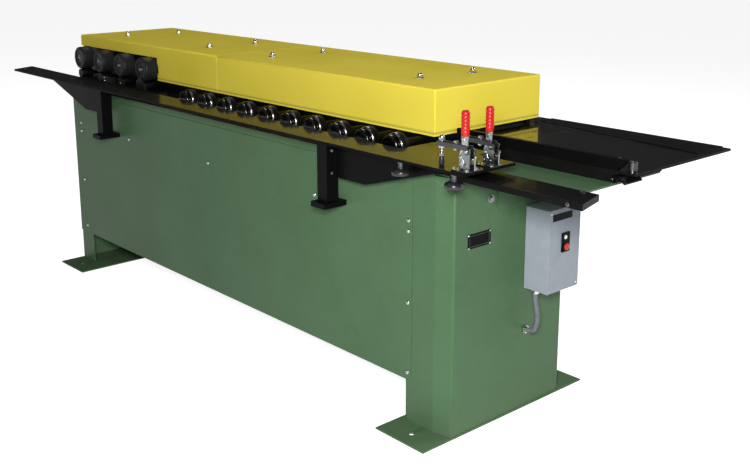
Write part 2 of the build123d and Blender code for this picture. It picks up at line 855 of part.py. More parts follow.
def build_pieces():
    pieces = {
        "entry_end_housing": entry_end_housing(),
        "exit_end_housing": exit_end_housing(),
        "near_panel": side_panel(-panel_sheet, 1),
        "far_panel": side_panel(base_depth + panel_sheet, -1),
        "bed_plate": bed_plate(),
        "foot_plates": Compound([foot_plate(x) for x in foot_positions_x]),
        "near_bearing_plate": bearing_plate(near_bearing_y, True),
        "far_bearing_plate": bearing_plate(far_bearing_y, False),
        "entry_cover": entry_cover(),
        "exit_cover": exit_cover(),
        "near_table": near_table(),
        "entry_table_support": table_support(entry_post_x, 1, entry_gusset_edge),
        "exit_table_support": table_support(exit_post_x, -1, exit_gusset_edge),
        "adjusting_knobs": Compound([adjusting_knob(x) for x in knob_positions_x]),
        "entry_shelf": entry_shelf(),
        "near_entry_bar": near_entry_bar(),
        "far_entry_table": far_entry_table(),
        "far_guide_bar": far_guide_bar(),
        "far_fence": far_fence(),
        "guide_roller": guide_roller(),
        "lead_in_tab": lead_in_tab(),
        "switch_box": switch_box(),
        "switch_buttons": switch_buttons(),
        "blank_plate": name_plate(),
        "conduit": conduit(),
        "conduit_fittings": Compound([conduit_fitting(), box_gland()]),
        "cover_studs": Compound([cover_studs(pair) for pair in stud_pairs_x]),
    }
    pieces["upper_rolls"] = Compound([upper_roll(x) for x in roll_positions_x])
    pieces["flanging_rolls"] = Compound([flanging_roll(x) for x in wheel_positions_x])
    pieces["clamp_bases"] = Compound([clamp_base(y) for y in clamp_y_positions])
    for i, x in enumerate(roll_positions_x):
        pieces[f"lower_roll_{i + 1:02d}"] = lower_roll(x)
    for i, x in enumerate(wheel_positions_x):
        pieces[f"flanging_wheel_{i + 1}"] = flanging_wheel(x)
    for name, y in zip(("near", "far"), clamp_y_positions):
        pieces[f"{name}_clamp_arm"] = clamp_arm(y)
        pieces[f"{name}_clamp_handle"] = clamp_handle(y)
    return pieces


pieces = build_pieces()
box = Compound([p for name, p in pieces.items() if name != "conduit"]).bounding_box()
shift = Pos(-(box.min.X + box.max.X) / 2, -(box.min.Y + box.max.Y) / 2, -box.min.Z)
for name, piece in pieces.items():
    export_step(shift * piece, f"parts/{name}.step")
origin = shift.position * -1
print("origin in the working datum:", [round(v, 3) for v in origin])
print("size:", [round(v, 1) for v in box.size])
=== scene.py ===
import bmesh
import bpy
import json
import math
from mathutils import Matrix, Vector


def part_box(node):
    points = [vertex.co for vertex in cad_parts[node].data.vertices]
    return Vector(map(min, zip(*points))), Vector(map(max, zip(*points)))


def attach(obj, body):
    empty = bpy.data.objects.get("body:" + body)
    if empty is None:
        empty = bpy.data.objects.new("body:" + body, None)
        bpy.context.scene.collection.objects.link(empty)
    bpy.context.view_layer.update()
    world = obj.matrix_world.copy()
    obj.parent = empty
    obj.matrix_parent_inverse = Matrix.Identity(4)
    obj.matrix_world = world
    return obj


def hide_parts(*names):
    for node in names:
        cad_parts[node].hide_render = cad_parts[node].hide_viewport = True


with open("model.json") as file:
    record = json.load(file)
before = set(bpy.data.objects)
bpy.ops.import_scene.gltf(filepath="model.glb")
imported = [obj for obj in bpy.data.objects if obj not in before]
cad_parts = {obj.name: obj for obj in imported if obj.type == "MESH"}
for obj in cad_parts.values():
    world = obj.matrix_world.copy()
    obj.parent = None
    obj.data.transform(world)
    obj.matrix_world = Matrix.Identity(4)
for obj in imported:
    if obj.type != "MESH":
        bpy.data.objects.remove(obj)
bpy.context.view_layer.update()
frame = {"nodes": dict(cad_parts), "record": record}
nodes = frame["nodes"]
print("loaded", len(nodes), "nodes")

# Places are in millimetres from the entry-end corner of the base, as in the CAD.
housingLow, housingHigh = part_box("entry_end_housing")
cornerX, cornerY = housingHigh.x, housingLow.y


def place(x, y, z):
    return Vector((cornerX + x / 1000, cornerY + y / 1000, z / 1000))


# Camera: solved from the photograph's own edges.
cameraSetup = {
    "place": (2031.0, -2161.0, 1588.0),
    "heading": -0.8582,
    "tilt": -0.2266,
    "roll": -0.0056,
    "focalPixels": 1011.8,
    "imageSize": (750, 469),
    "axisPixel": (350.1, 165.0),
    "sensor": 36.0,
    "clip": (0.05, 100.0),
}


def makeCamera(setup):
    heading, tilt, roll = setup["heading"], setup["tilt"], setup["roll"]
    forward = Vector((math.sin(heading) * math.cos(tilt), math.cos(heading) * math.cos(tilt), math.sin(tilt)))
    right = Vector((math.cos(heading), -math.sin(heading), 0))
    up = right.cross(forward)
    rightRolled = right * math.cos(roll) + up * math.sin(roll)
    upRolled = up * math.cos(roll) - right * math.sin(roll)
    data = bpy.data.cameras.new("photoCamera")
    camera = bpy.data.objects.new("photoCamera", data)
    bpy.context.scene.collection.objects.link(camera)
    turn = Matrix((rightRolled, upRolled, -forward)).transposed()
    camera.matrix_world = Matrix.Translation(place(*setup["place"])) @ turn.to_4x4()
    width, height = setup["imageSize"]
    data.sensor_width = setup["sensor"]
    data.lens = setup["focalPixels"] / width * data.sensor_width
    data.shift_x = (width / 2 - setup["axisPixel"][0]) / width
    data.shift_y = (setup["axisPixel"][1] - height / 2) / width
    data.clip_start, data.clip_end = setup["clip"]
    bpy.context.scene.camera = camera


makeCamera(cameraSetup)
print("camera ready")


class Wire:
    # A shader value that can be added, multiplied and so on; each step adds a Math node.
    def __init__(self, tree, socket):
        self.tree, self.socket = tree, socket

    def mathNode(self, operation, first, second=None, clamp=False):
        node = self.tree.nodes.new("ShaderNodeMath")
        node.operation, node.use_clamp = operation, clamp
        for socket, value in zip(node.inputs, (first, second)):
            if isinstance(value, Wire):
                self.tree.links.new(value.socket, socket)
            elif value is not None:
                socket.default_value = value
        return Wire(self.tree, node.outputs[0])

    def __add__(self, other):
        return self.mathNode("ADD", self, other)

    def __sub__(self, other):
        return self.mathNode("SUBTRACT", self, other)

    def __mul__(self, other):
        return self.mathNode("MULTIPLY", self, other)

    def __truediv__(self, other):
        return self.mathNode("DIVIDE", self, other)

    def __rsub__(self, other):
        return self.mathNode("SUBTRACT", other, self)

    def __rtruediv__(self, other):
        return self.mathNode("DIVIDE", other, self)

    __radd__ = __add__
    __rmul__ = __mul__

    def clipped(self):
        return self.mathNode("ADD", self, 0.0, clamp=True)

    def between(self, low, high):
        # 0 below low, 1 above high, and straight in between.
        return ((self - low) / (high - low)).clipped()


def srgb(red, green, blue):
    # Colours are written as 0-255 and turned into the linear values that Blender uses.
    def linear(value):
        value /= 255
        return value / 12.92 if value <= 0.04045 else ((value + 0.055) / 1.055) ** 2.4
    return (linear(red), linear(green), linear(blue), 1.0)


noiseRoughness = 0.55


class Finish:
    # A material with its Principled shader and a short way to add nodes.
    def __init__(self, name, color=None, roughness=0.5, metallic=0.0, **fixed):
        self.material = bpy.data.materials.new(name)
        self.material.use_nodes = True
        self.tree = self.material.node_tree
        self.shader = self.tree.nodes["Principled BSDF"]
        self.shader.inputs["Roughness"].default_value = roughness
        self.shader.inputs["Metallic"].default_value = metallic
        if color:
            self.shader.inputs["Base Color"].default_value = color
        for key, value in fixed.items():
            self.shader.inputs[key].default_value = value
        self.places = self.node("ShaderNodeTexCoord", output="Object")

    def node(self, kind, settings=None, values=None, output=0):
        made = self.tree.nodes.new(kind)
        for key, value in (settings or {}).items():
            if key == "stops":
                ramp = made.color_ramp
                while len(ramp.elements) < len(value):
                    ramp.elements.new(0.5)
                for element, (position, color) in zip(ramp.elements, value):
                    element.position, element.color = position, color
            else:
                setattr(made, key, value)
        for key, value in (values or {}).items():
            if isinstance(value, Wire):
                self.tree.links.new(value.socket, made.inputs[key])
            else:
                made.inputs[key].default_value = value
        return Wire(self.tree, made.outputs[output])

    def noise(self, scale, detail=3.0, stretch=None):
        spread = self.places
        if stretch:
            spread = self.node("ShaderNodeMapping", values={"Vector": self.places, "Scale": stretch})
        values = {"Vector": spread, "Scale": scale, "Detail": detail, "Roughness": noiseRoughness}
        return self.node("ShaderNodeTexNoise", values=values)

    def axis(self, name):
        return self.node("ShaderNodeSeparateXYZ", values={"Vector": self.places}, output=name)

    def mix(self, factor, first, second):
        node = self.tree.nodes.new("ShaderNodeMix")
        node.data_type = "RGBA"
        for socket, value in zip((node.inputs[0], node.inputs[6], node.inputs[7]), (factor, first, second)):
            if isinstance(value, Wire):
                self.tree.links.new(value.socket, socket)
            else:
                socket.default_value = value
        return Wire(self.tree, node.outputs[2])

    def feed(self, name, wire):
        self.tree.links.new(wire.socket, self.shader.inputs[name])

    def bump(self, height, strength, distance):
        values = {"Height": height, "Strength": strength, "Distance": distance}
        self.feed("Normal", self.node("ShaderNodeBump", values=values, output="Normal"))


paints = {
    "green": srgb(72, 100, 71),
    "greenPale": srgb(80, 111, 82),
    "greenDeep": srgb(65, 92, 63),
    "yellow": srgb(216, 198, 74),
    "yellowDeep": srgb(207, 189, 62),
    # paler yellow: painted highlight along the cover seam
    "yellowSeamHighlight": srgb(238, 226, 132),
    # painted shade for the line along the cover's folded hem
    "hemShade": srgb(128, 128, 52),
    "floorDust": srgb(100, 102, 80),
    "dustHeight": 0.16,
    "greenGloss": 0.32,
    "yellowGloss": 0.36,
    "seamGloss": 0.30,
    "coverHem": 0.923,
    "hemLine": (0.0060, 0.0085, 0.0105, 0.0170),  # rises and falls this far above the edge
}


def paintFinish(name, main, pale, deep, gloss, dusty, specular=0.1, hem=None, peel=0.03):
    # Sprayed enamel: faint mottling, orange peel, and dust near the floor; where a hem is given, a line of
    # painted shade just above it.
    finish = Finish(name, roughness=gloss, **{"Specular IOR Level": specular})
    cloud = finish.noise(2.2, 2.0).between(0.35, 0.68)
    grain = finish.noise(34.0, 4.0).between(0.3, 0.75)
    color = finish.mix(cloud, deep, main)
    color = finish.mix(grain * 0.22, color, pale)
    if dusty:
        height = finish.axis("Z")
        low = 1 - height.between(0.0, paints["dustHeight"])
        dust = (low * low * finish.noise(9.0, 5.0).between(0.25, 0.8)).clipped()
        color = finish.mix(dust * 0.35, color, paints["floorDust"])
        finish.feed("Roughness", gloss + dust * 0.35 + grain * 0.07)
    else:
        finish.feed("Roughness", gloss + grain * 0.07)
    if hem:
        # Painted shade: a darker line a few millimetres above the edge stands in for the shade along the
        # folded hem.
        height = finish.axis("Z")
        rise, full, fall, gone = (hem + step for step in paints["hemLine"])
        line = height.between(rise, full) * (1 - height.between(fall, gone))
        color = finish.mix(line * 0.65, color, paints["hemShade"])
    finish.feed("Base Color", color)
    finish.bump(finish.noise(90.0, 1.0), peel, 0.0003)
    return finish.material


greens = [paints[k] for k in ("green", "greenPale", "greenDeep")]
greenPaint = paintFinish("greenEnamel", *greens, paints["greenGloss"], True)
yellows = [paints[k] for k in ("yellow", "yellow", "yellowDeep")]
yellowPaint = paintFinish(
    "yellowEnamel", *yellows, paints["yellowGloss"], False, specular=0.004, hem=paints["coverHem"], peel=0.015
)
# The seam's paler yellow is a painted highlight, not a paint colour of its own.
seamHighlightColors = [paints[k] for k in ("yellowSeamHighlight", "yellowSeamHighlight", "yellow")]
seamHighlightPaint = paintFinish("yellowSeamHighlight", *seamHighlightColors, paints["seamGloss"], False, specular=0.2)

blacks = {
    "table": srgb(12, 12, 12),
    "post": srgb(9, 9, 10),
    "dust": srgb(50, 48, 43),
    "wheel": srgb(34, 35, 37),
    "plastic": srgb(26, 26, 27),
    "satin": 0.34,
    "lacquerIOR": 1.5,
    "levelFrom": 0.93,  # upward part of the normal where the polish begins and is full
    "levelFull": 0.99,
}


def tableFinish(name, base, rub, gloss, coat=0.45, specular=0.04):
    # Black stove enamel, polished by sheet metal sliding along it: gloss lies on the level faces.
    satin = blacks["satin"]
    fixed = {"Specular IOR Level": specular, "Coat Roughness": gloss, "Coat IOR": blacks["lacquerIOR"]}
    finish = Finish(name, roughness=satin, **fixed)
    scratch = finish.noise(26.0, 6.0, stretch=(1.2, 24, 24)).between(0.60, 0.72)
    cloud = finish.noise(6.0, 4.0).between(0.42, 0.75)
    finish.feed("Base Color", finish.mix((scratch * 0.22 + cloud * 0.10).clipped(), base, rub))
    finish.feed("Roughness", satin + scratch * 0.16 + cloud * 0.10)
    if coat:
        facing = finish.node("ShaderNodeNewGeometry", output="Normal")
        upward = finish.node("ShaderNodeSeparateXYZ", values={"Vector": facing}, output="Z")
        level = upward.between(blacks["levelFrom"], blacks["levelFull"])
        finish.feed("Coat Weight", level * (1 - scratch * 0.25) * coat)
    finish.bump(finish.noise(120.0, 2.0), 0.03, 0.0003)
    return finish.material


blackTable = tableFinish("blackEnamel", blacks["table"], blacks["dust"], 0.07, 0.40, 0.02)
blackBar = tableFinish("blackBarEnamel", blacks["table"], blacks["dust"], 0.12, 0.14)
blackDeck = tableFinish("blackDeckEnamel", blacks["table"], blacks["dust"], 0.05, 0.95)
blackPost = tableFinish("blackPostEnamel", blacks["post"], blacks["table"], 0.2, 0.0)
blackSatin = tableFinish("blackSatin", blacks["wheel"], blacks["dust"], 0.2, 0.0, 0.3)


def metalFinish(name, color, roughness, streak, axisStretch, tint=None):
    # Turned or plated metal: fine lines with a slow change of tone.
    finish = Finish(name, roughness=roughness, metallic=1.0)
    lines = finish.noise(60.0, 5.0, stretch=axisStretch).between(0.3, 0.72)
    cloud = finish.noise(14.0, 3.0).between(0.35, 0.7)
    dark = tint or tuple(c * 0.55 for c in color[:3]) + (1.0,)
    finish.feed("Base Color", finish.mix((lines * streak + cloud * 0.25).clipped(), color, dark))
    finish.feed("Roughness", roughness + lines * 0.12 + cloud * 0.08)
    finish.bump(lines, 0.08, 0.0002)
    return finish.material


rollSteel = metalFinish("rollSteel", srgb(66, 66, 67), 0.15, 0.5, (2, 6, 2), srgb(26, 26, 26))
ringSteel = metalFinish("rollRingSteel", srgb(128, 127, 124), 0.13, 0.4, (2, 6, 2), srgb(52, 51, 48))
stemSteel = metalFinish("stemSteel", srgb(96, 97, 100), 0.3, 0.4, (4, 4, 1), srgb(52, 53, 56))
brightSteel = metalFinish("brightSteel", srgb(206, 205, 200), 0.16, 0.3, (3, 3, 3))
zincSteel = metalFinish("zincPlate", srgb(196, 200, 199), 0.15, 0.25, (3, 3, 3), srgb(120, 126, 122))
cheekSteel = metalFinish("cheekSteel", srgb(150, 154, 153), 0.16, 0.2, (3, 3, 3), srgb(72, 75, 74))
bodySteel = metalFinish("rollBodySteel", srgb(30, 30, 31), 0.5, 0.4, (2, 6, 2), srgb(18, 18, 18))
dullZinc = metalFinish("dullZinc", srgb(150, 154, 152), 0.3, 0.5, (3, 3, 3), srgb(84, 88, 84))
darkSteel = metalFinish("blackenedSteel", srgb(42, 42, 42), 0.42, 0.5, (1, 10, 1), srgb(20, 20, 20))
oiledSteel = metalFinish("oiledSteel", srgb(70, 68, 63), 0.40, 0.5, (1, 10, 1), srgb(34, 33, 29))


def plasticFinish(name, color, deep, roughness, grainScale=900.0, grainStrength=0.12, specular=0.4):
    finish = Finish(name, roughness=roughness, **{"Specular IOR Level": specular})
    cloud = finish.noise(30.0, 3.0).between(0.35, 0.7)
    finish.feed("Base Color", finish.mix(cloud * 0.5, color, deep))
    finish.feed("Roughness", roughness + cloud * 0.08)
    finish.bump(finish.noise(grainScale, 2.0), grainStrength, 0.0003)
    return finish.material


knobPlastic = plasticFinish("knobBlack", srgb(24, 25, 28), srgb(18, 19, 22), 0.28, 700.0, 0.04, 0.5)
wheelBlack = plasticFinish("wheelBlack", srgb(28, 29, 31), srgb(22, 23, 25), 0.5, 300.0, 0.08, 0.2)
faceBlack = plasticFinish("wheelFaceBlack", srgb(20, 20, 22), srgb(14, 14, 16), 0.45, 300.0, 0.08, 0.2)
redGrip = plasticFinish("redGrip", srgb(170, 26, 24), srgb(146, 20, 20), 0.3, 500.0, 0.05, 0.25)
blackPlastic = plasticFinish("blackPlastic", blacks["plastic"], srgb(18, 18, 19), 0.3)
boxPaint = plasticFinish("greyBoxPaint", srgb(136, 142, 150), srgb(126, 132, 140), 0.42, 500.0, 0.05, 0.2)
greyPlastic = plasticFinish("greyPlastic", srgb(92, 94, 97), srgb(74, 76, 80), 0.42)
hosePlastic = plasticFinish("hosePlastic", srgb(94, 99, 104), srgb(76, 81, 86), 0.45)
# Near-black for flat patches that stand in for the shade inside slots: painted shade.
paintedSlotShade = plasticFinish("paintedSlotShade", srgb(9, 9, 9), srgb(5, 5, 5), 0.6)
blackLabel = plasticFinish("plateBlack", srgb(8, 8, 9), srgb(5, 5, 6), 0.4, 700.0, 0.04, 0.05)
whiteLabel = plasticFinish("plainLabel", srgb(224, 222, 212), srgb(212, 209, 198), 0.35, 700.0, 0.04)
redButton = plasticFinish("redButton", srgb(178, 34, 30), srgb(150, 24, 22), 0.3)
print("materials ready")

slotFinish = {
    "green_paint": greenPaint,
    "yellow_paint": yellowPaint,
    "black_gloss": blackTable,
    "oiled_steel": oiledSteel,
    "roll_steel": rollSteel,
    "polished_steel": brightSteel,
    "zinc_plate": zincSteel,
    "grey_paint": boxPaint,
    "grey_plastic": greyPlastic,
    "black_plastic": blackPlastic,
    "hose_plastic": hosePlastic,
    "red_grip": redGrip,
}
joinDistance = 0.00002
edgeAngle = 40
plainEdge = 0.6
edgeRadius = {
    "entry_cover": 1.2,
    "exit_cover": 1.2,
    "near_table": 0.5,
    "far_entry_table": 0.8,
    "far_guide_bar": 1.2,
    "near_entry_bar": 1.2,
    "entry_table_support": 1.2,
    "exit_table_support": 1.2,
    "switch_box": 1.2,
    "foot_plates": 0.8,
}


def dressNode(name, node, finish):
    # The CAD mesh stays; corners get a small rounded edge that catches light.
    node.data.materials.clear()
    node.data.materials.append(finish)
    weld = node.modifiers.new("join", "WELD")
    weld.merge_threshold = joinDistance
    edge = node.modifiers.new("edge", "BEVEL")
    edge.width = edgeRadius.get(name, plainEdge) / 1000
    edge.segments = 2
    edge.limit_method = "ANGLE"
    edge.angle_limit = math.radians(edgeAngle)
    edge.use_clamp_overlap = True
    edge.harden_normals = True


slotOf = {part["node"]: part["material_slot"] for part in frame["record"]["subparts"]}
for name, node in nodes.items():
    dressNode(name, node, slotFinish[slotOf[name]])
# Some nodes share a slot but not a finish.
ownFinish = {
    "entry_table_support": blackPost,
    "exit_table_support": blackPost,
    "lead_in_tab": blackPost,
    "far_guide_bar": blackPost,
    "far_entry_table": blackDeck,
    "near_entry_bar": blackBar,
    "blank_plate": blackLabel,
    "clamp_bases": cheekSteel,
    "near_clamp_arm": stemSteel,
    "far_clamp_arm": stemSteel,
    "flanging_rolls": darkSteel,
    "near_bearing_plate": darkSteel,
}
for name, finish in ownFinish.items():
    nodes[name].data.materials[0] = finish
print("CAD nodes dressed")


class Shape:
    # Mesh work for one piece; all places are in millimetres, as in the CAD.
    def __init__(self):
        self.mesh = bmesh.new()

    def lathe(self, centre, axis, profile, segments=32):
        # profile lists (along the axis, radius); a radius of 0 closes the end.
        axis = Vector(axis)
        side = Vector((1, 0, 0)) if axis.z else Vector((0, 0, 1))
        other = axis.cross(side)
        rings = []
        for along, radius in profile:
            middle = Vector(centre) + axis * along
            if radius <= 0:
                rings.append([self.mesh.verts.new(place(*middle))])
                continue
            ring = []
            for i in range(segments):
                turn = 2 * math.pi * i / segments
                out = side * math.cos(turn) + other * math.sin(turn)
                ring.append(self.mesh.verts.new(place(*(middle + out * radius))))
            rings.append(ring)
        self.skin(rings)

    def skin(self, rings):
        for low, high in zip(rings, rings[1:]):
            count = max(len(low), len(high))
            for i in range(count):
                j = (i + 1) % count
                if len(low) == 1:
                    self.mesh.faces.new((low[0], high[j], high[i]))
                elif len(high) == 1:
                    self.mesh.faces.new((low[i], low[j], high[0]))
                else:
                    self.mesh.faces.new((low[i], low[j], high[j], high[i]))

    def hexagon(self, centre, axis, across, low, high, chamfer=0.8):
        # A nut or bolt head: across is the width over its flats.
        radius = across / 2 / math.cos(math.pi / 6)
        inner = radius - chamfer
        profile = [(low, 0), (low, inner), (low + chamfer, radius)]
        profile += [(high - chamfer, radius), (high, inner), (high, 0)]
        self.lathe(centre, axis, profile, 6)

    def prism(self, outline, origin, first, second, depth):
        # A flat outline in the plane of two directions, thickened along their cross product.
        first, second = Vector(first), Vector(second)
        normal = first.cross(second).normalized()
        rings = []
        for along in (0.0, depth):
            base = Vector(origin) + normal * along
            rings.append([self.mesh.verts.new(place(*(base + first * u + second * v))) for u, v in outline])
        self.mesh.faces.new(list(reversed(rings[0])))
        self.mesh.faces.new(rings[1])
        self.skin(rings)

    def slab(self, low, high):
        (x0, y0, z0), (x1, y1, z1) = low, high
        wide, deep = x1 - x0, y1 - y0
        self.prism([(0, 0), (wide, 0), (wide, deep), (0, deep)], low, (1, 0, 0), (0, 1, 0), z1 - z0)

    def piece(self, name, finish, body="base", bevel=0.0, smooth=40, instead=()):
        bmesh.ops.recalc_face_normals(self.mesh, faces=self.mesh.faces)
        data = bpy.data.meshes.new(name)
        self.mesh.to_mesh(data)
        self.mesh.free()
        made = bpy.data.objects.new(name, data)
        bpy.context.scene.collection.objects.link(made)
        data.materials.append(finish)
        data.shade_smooth()
        data.set_sharp_from_angle(angle=math.radians(smooth))
        if bevel:
            edge = made.modifiers.new("edge", "BEVEL")
            edge.width = bevel / 1000
            edge.segments = 2
            edge.limit_method = "ANGLE"
            edge.angle_limit = math.radians(35)
            edge.harden_normals = True
        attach(made, body)
        if instead:
            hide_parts(*instead)
        return made


# Conduit between the switch box and the base.
conduit = {
    "route": [(43, 360, 424), (43, 360, 398), (55, 360, 359), (52, 360, 317), (38, 360, 287), (14, 360, 287)],
    "diameter": 17.0,
    "ribEvery": 4.6,
    "ribWidth": 2.6,
    "ribDepth": 0.9,
    "ribSink": 0.2,
    "ribSides": 24,
}


def conduitCurve(name, setup, bevel):
    curve = bpy.data.curves.new(name, "CURVE")
    curve.dimensions = "3D"
    spline = curve.splines.new("NURBS")
    points = [place(*p) for p in setup["route"]]
    spline.points.add(len(points) - 1)
    for point, where in zip(spline.points, points):
        point.co = (*where, 1.0)
    spline.order_u = 3
    spline.use_endpoint_u = True
    curve.resolution_u = spline.resolution_u = 16
    if bevel:
        curve.bevel_depth = setup["diameter"] / 2000
        curve.bevel_resolution = 6
        curve.use_fill_caps = True
    made = bpy.data.objects.new(name, curve)
    bpy.context.scene.collection.objects.link(made)
    return made


def routePoints(setup):
    # The hose's own line, read from its spline without any thickness.
    bare = conduitCurve("conduitLine", setup, False)
    bpy.context.view_layer.update()
    mesh = bpy.data.meshes.new_from_object(bare)
    points = [v.co.copy() for v in mesh.vertices]
    bpy.data.objects.remove(bare)
    bpy.data.meshes.remove(mesh)
    return points


def makeConduit(setup):
    hose = conduitCurve("conduitHose", setup, True)
    hose.data.materials.append(hosePlastic)
    points = routePoints(setup)
    ribs = bmesh.new()
    radius = setup["diameter"] / 2000
    sink, rise, sides = -setup["ribSink"] / 1000, setup["ribDepth"] / 1000, setup["ribSides"]
    bands = [(-0.5, sink), (-0.3, rise), (0.3, rise), (0.5, sink)]
    travelled, nextRib = 0.0, setup["ribEvery"] / 2000
    side = Vector((0, 1, 0))
    for a, b in zip(points, points[1:]):
        run = (b - a).length
        along = (b - a).normalized()
        other = along.cross(side).normalized()
        while nextRib < travelled + run:
            middle = a + along * (nextRib - travelled)
            rings = []
            for shift, height in bands:
                centre = middle + along * shift * setup["ribWidth"] / 1000
                ring = []
                for i in range(sides):
                    turn = 2 * math.pi * i / sides
                    out = side * math.cos(turn) + other * math.sin(turn)
                    ring.append(ribs.verts.new(centre + out * (radius + height)))
                rings.append(ring)
            for low, high in zip(rings, rings[1:]):
                for i in range(sides):
                    j = (i + 1) % sides
                    ribs.faces.new((low[i], low[j], high[j], high[i]))
            nextRib += setup["ribEvery"] / 1000
        travelled += run
    bmesh.ops.recalc_face_normals(ribs, faces=ribs.faces)
    data = bpy.data.meshes.new("conduitRibs")
    ribs.to_mesh(data)
    ribs.free()
    ribPiece = bpy.data.objects.new("conduitRibs", data)
    bpy.context.scene.collection.objects.link(ribPiece)
    data.materials.append(hosePlastic)
    data.shade_smooth()
    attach(ribPiece, "base")
    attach(hose, "base")
    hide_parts("conduit")
    print("conduit length", round(travelled, 4))
    place(*setup["route"][0])


makeConduit(conduit)
print("conduit ready")

# Bolts, rivets and nuts that CAD leaves to this script.
along = {"x": (1, 0, 0), "y": (0, 1, 0), "z": (0, 0, 1), "-x": (-1, 0, 0), "-y": (0, -1, 0), "-z": (0, 0, -1)}


def addBolt(shape, where, axis, across, height, washer=0.0):
    # A hex head, on a washer where one is given, standing on the face at this place.
    direction = along[axis]
    base = 0.0
    if washer:
        profile = [(0, 0), (0, washer), (1.6, washer - 0.2), (1.8, washer - 0.6), (1.8, 0)]
        shape.lathe(where, direction, profile, 28)
        base = 1.7
    top = base + height
    shape.hexagon(where, direction, across, base, top, 0.9)
    profile = [(top - 0.4, 0), (top, across * 0.36), (top + 0.5, across * 0.3), (top + 0.5, 0)]
    shape.lathe(where, direction, profile, 24)


def addButton(shape, where, axis, radius, height):
    # A round pan head with a shallow dimple for its recess, as shares of its height and radius.
    shares = [(0, 0), (0, 1), (0.35, 1), (0.75, 0.85), (1, 0.5), (1, 0.22), (0.6, 0.18), (0.6, 0)]
    profile = [(height * rise, radius * reach) for rise, reach in shares]
    shape.lathe(where, along[axis], profile, 24)


coverNuts = {
    "rowsX": [(-501, -472), (-1374, -1337), (-1851, -1836), (-2596, -2512)],
    "rowsY": (356, 600),
    "top": 1081.5,
    "washer": 16.5,
    "across": 20.0,
    "height": 11.0,
    "dome": 9.3,
    "domeRise": 9.0,
    "tieMargin": 15.0,
    "tieLow": 1060.5,
    "tieTop": 1070.5,
    "tieNear": 215.0,
    "tieFar": 736.5,
    "spacerTop": 1078.5,
    "spacer": 9.0,
    "stud": 6.0,
    "studAbove": 2.0,
}


def makeCoverNuts(setup):
    shape = Shape()
    for pair in setup["rowsX"]:
        for x, y in zip(pair, setup["rowsY"]):
            where = (x, y, setup["top"])
            washer = setup["washer"]
            profile = [(0, 0), (0, washer), (1.8, washer), (2.4, washer - 1.2), (2.4, 0)]
            shape.lathe(where, (0, 0, 1), profile, 32)
            height, rise = setup["height"], setup["domeRise"]
            shape.hexagon(where, (0, 0, 1), setup["across"], 2.3, height, 1.2)
            dome = [(height - 1.5, setup["dome"])]
            for i in range(1, 8):
                turn = math.pi / 2 * i / 8
                dome.append((height + rise * math.sin(turn), setup["dome"] * math.cos(turn)))
            dome.append((height + rise, 0))
            shape.lathe(where, (0, 0, 1), dome, 32)
    shape.piece("coverNuts", brightSteel, instead=("cover_studs",))
    # Tie bars under the cover, with the spacers and studs that carry it.
    ties = Shape()
    near, far, low, top = (setup[k] for k in ("tieNear", "tieFar", "tieLow", "tieTop"))
    margin, wide, thin = setup["tieMargin"], setup["spacer"], setup["stud"]
    rise, reach = setup["spacerTop"] - top, setup["top"] + setup["studAbove"] - top
    profile = [(-0.5, 0), (-0.5, wide), (rise, wide), (rise, thin), (reach, thin), (reach, 0)]
    for pair in setup["rowsX"]:
        ties.slab((min(pair) - margin, near, low), (max(pair) + margin, far, top))
        for x, y in zip(pair, setup["rowsY"]):
            ties.lathe((x, y, top), (0, 0, 1), profile, 28)
    ties.piece("coverTies", oiledSteel, bevel=0.5)


makeCoverNuts(coverNuts)

# The two cover sections meet in a thin seam strip; its paler yellow is a painted highlight along the joint.
seam = {"x": -1566.5, "half": 0.9, "near": 203.0, "far": 748.5, "low": 924.0, "top": 1081.5, "proud": 0.25}


def makeSeam(setup):
    shape = Shape()
    x0, x1, proud = setup["x"] - setup["half"], setup["x"] + setup["half"], setup["proud"]
    near, far, low, top = (setup[k] for k in ("near", "far", "low", "top"))
    shape.slab((x0, near - proud, low), (x1, near + 2, top - 3))
    shape.slab((x0, far - 2, low), (x1, far + proud, top - 3))
    shape.slab((x0, near + 3, top - 2), (x1, far - 3, top + proud))
    shape.piece("coverSeam", seamHighlightPaint)


makeSeam(seam)


# The green sheet reaches up under the near table.
upstand = {"low": (-2514.0, 0.4, 836.0), "high": (-74.0, 3.4, 868.0)}


def makeUpstand(setup):
    shape = Shape()
    shape.slab(setup["low"], setup["high"])
    shape.piece("panelUpstand", greenPaint)


makeUpstand(upstand)

# Screws in columns where the side panels lap over the ends of the base, and three between them.
panelScrews = {
    "columns": {
        -2445: (700, 660, 419, 186),
        -184: (695, 660, 418, 176),
        -1338: (687,),
        -659: (687,),
        -1981: (687,),
    },
    "radius": 7.0,
    "height": 3.8,
    "nearFace": -3.0,
    "farFace": 573.0,
}


def makePanelScrews(setup):
    shape = Shape()
    for x, heights in setup["columns"].items():
        for z in heights:
            addButton(shape, (x, setup["nearFace"], z), "-y", setup["radius"], setup["height"])
            addButton(shape, (x, setup["farFace"], z), "y", setup["radius"], setup["height"])
    shape.piece("panelScrews", zincSteel)


makePanelScrews(panelScrews)

smallBolts = {
    "endFace": (0, 176, 771),
    "postFace": [(-496, -59, 880), (-496, -59, 803)],
    "barTop": (419, 73, 885),
    "barFace": (440, -18, 876),
    "deckScrew": (273, 454, 904.5),
    "lipScrew": (352, 304, 878),
}


def makeSmallBolts(setup):
    shape = Shape()
    addBolt(shape, setup["endFace"], "x", 17, 7, 14)
    for where in setup["postFace"]:
        addBolt(shape, where, "x", 10, 4.5, 0)
    addButton(shape, setup["deckScrew"], "z", 5.5, 2.2)
    addButton(shape, setup["lipScrew"], "-y", 5.5, 3.0)
    shape.piece("smallBolts", dullZinc)
    dark = Shape()
    addBolt(dark, setup["barTop"], "z", 17, 7, 0)
    addBolt(dark, setup["barFace"], "-y", 13, 5, 0)
    dark.piece("barBolts", stemSteel)


makeSmallBolts(smallBolts)
print("bolts ready")

